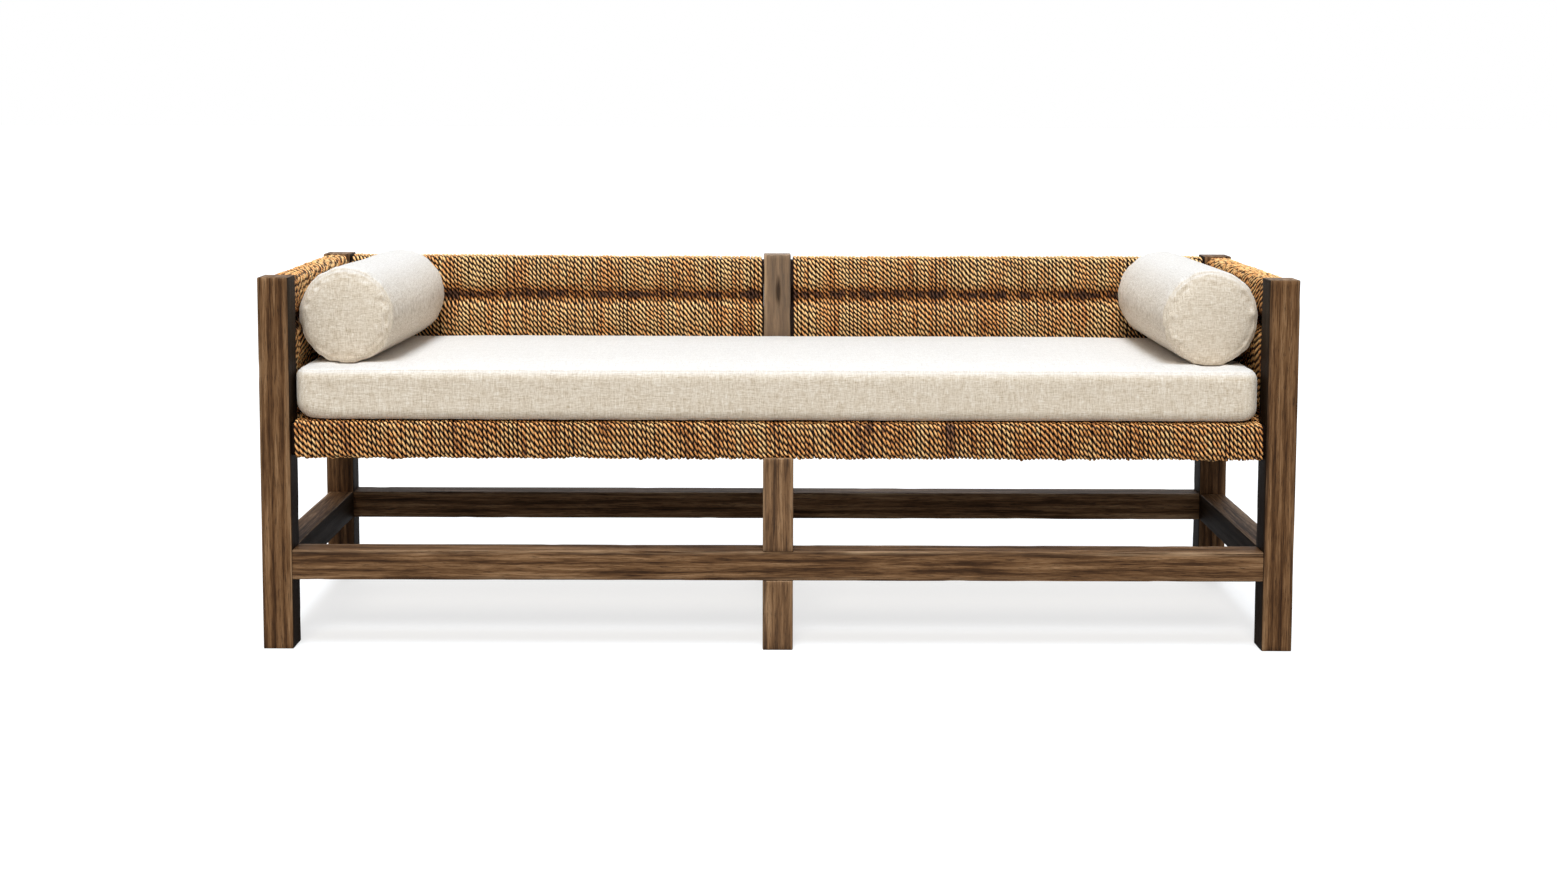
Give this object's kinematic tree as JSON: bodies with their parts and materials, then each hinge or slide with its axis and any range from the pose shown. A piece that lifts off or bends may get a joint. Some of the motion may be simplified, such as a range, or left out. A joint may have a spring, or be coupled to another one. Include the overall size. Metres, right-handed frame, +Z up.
{
  "type": "daybed",
  "caption": "Long low daybed: a dark square-post hardwood frame with rope-wound back, arms and seat, a linen box cushion and round bolsters.",
  "frame": {"origin": "on the floor, under the middle of the daybed", "axes": "+X along the seat to the sitter's left, as seen from the front it points right; +Y towards the back; +Z up"},
  "size_m": [1.93, 0.584, 0.7123],
  "materials": {
    "stained_hardwood": "matte, dark grey-brown stain, worn along the edges",
    "plain_hardwood": "matte, unfinished",
    "abaca_rope": "matte, natural twisted fibre in light and dark tans",
    "linen": "matte, oatmeal linen weave",
    "seat_foam": "matte, open foam",
    "fibre_fill": "matte, white fibre",
    "zip_tape": "matte, woven tape"
  },
  "bodies": {
    "frame": {"post_front_left": "stained_hardwood", "post_front_right": "stained_hardwood", "post_rear_left": "stained_hardwood", "post_rear_right": "stained_hardwood", "post_rear_middle": "stained_hardwood", "leg_front_middle": "stained_hardwood", "stretcher_front": "stained_hardwood", "stretcher_rear": "stained_hardwood", "stretcher_left": "stained_hardwood", "stretcher_right": "stained_hardwood", "seat_rail_front": "plain_hardwood", "seat_rail_rear_left": "plain_hardwood", "seat_rail_rear_right": "plain_hardwood", "seat_rail_left": "plain_hardwood", "seat_rail_right": "plain_hardwood", "seat_cross_rail": "plain_hardwood", "back_top_rail_left": "plain_hardwood", "back_lower_rail_left": "plain_hardwood", "arm_top_rail_left": "plain_hardwood", "arm_lower_rail_left": "plain_hardwood", "back_top_rail_right": "plain_hardwood", "back_lower_rail_right": "plain_hardwood", "arm_top_rail_right": "plain_hardwood", "arm_lower_rail_right": "plain_hardwood", "seat_rope_front": "abaca_rope", "seat_rope_rear_left": "abaca_rope", "seat_rope_rear_right": "abaca_rope", "seat_rope_left": "abaca_rope", "seat_rope_right": "abaca_rope", "seat_deck_left": "abaca_rope", "seat_deck_right": "abaca_rope", "back_rope_left": "abaca_rope", "arm_rope_left": "abaca_rope", "back_rope_right": "abaca_rope", "arm_rope_right": "abaca_rope"},
    "seat_cushion": {"seat_cushion_cover": "linen", "seat_cushion_foam": "seat_foam", "seat_cushion_zip": "zip_tape"},
    "bolster_left": {"bolster_left_cover": "linen", "bolster_left_insert": "fibre_fill", "bolster_left_zip": "zip_tape"},
    "bolster_right": {"bolster_right_cover": "linen", "bolster_right_insert": "fibre_fill", "bolster_right_zip": "zip_tape"}
  },
  "joints": [
    {"name": "seat_cushion_lift", "type": "slide", "parent": "frame", "child": "seat_cushion", "axis": [0, 0, 1], "range_m": [0, 0.3]},
    {"name": "bolster_left_lift", "type": "slide", "parent": "seat_cushion", "child": "bolster_left", "axis": [0, 0, 1], "range_m": [0, 0.2]},
    {"name": "bolster_right_lift", "type": "slide", "parent": "seat_cushion", "child": "bolster_right", "axis": [0, 0, 1], "range_m": [0, 0.2]}
  ]
}
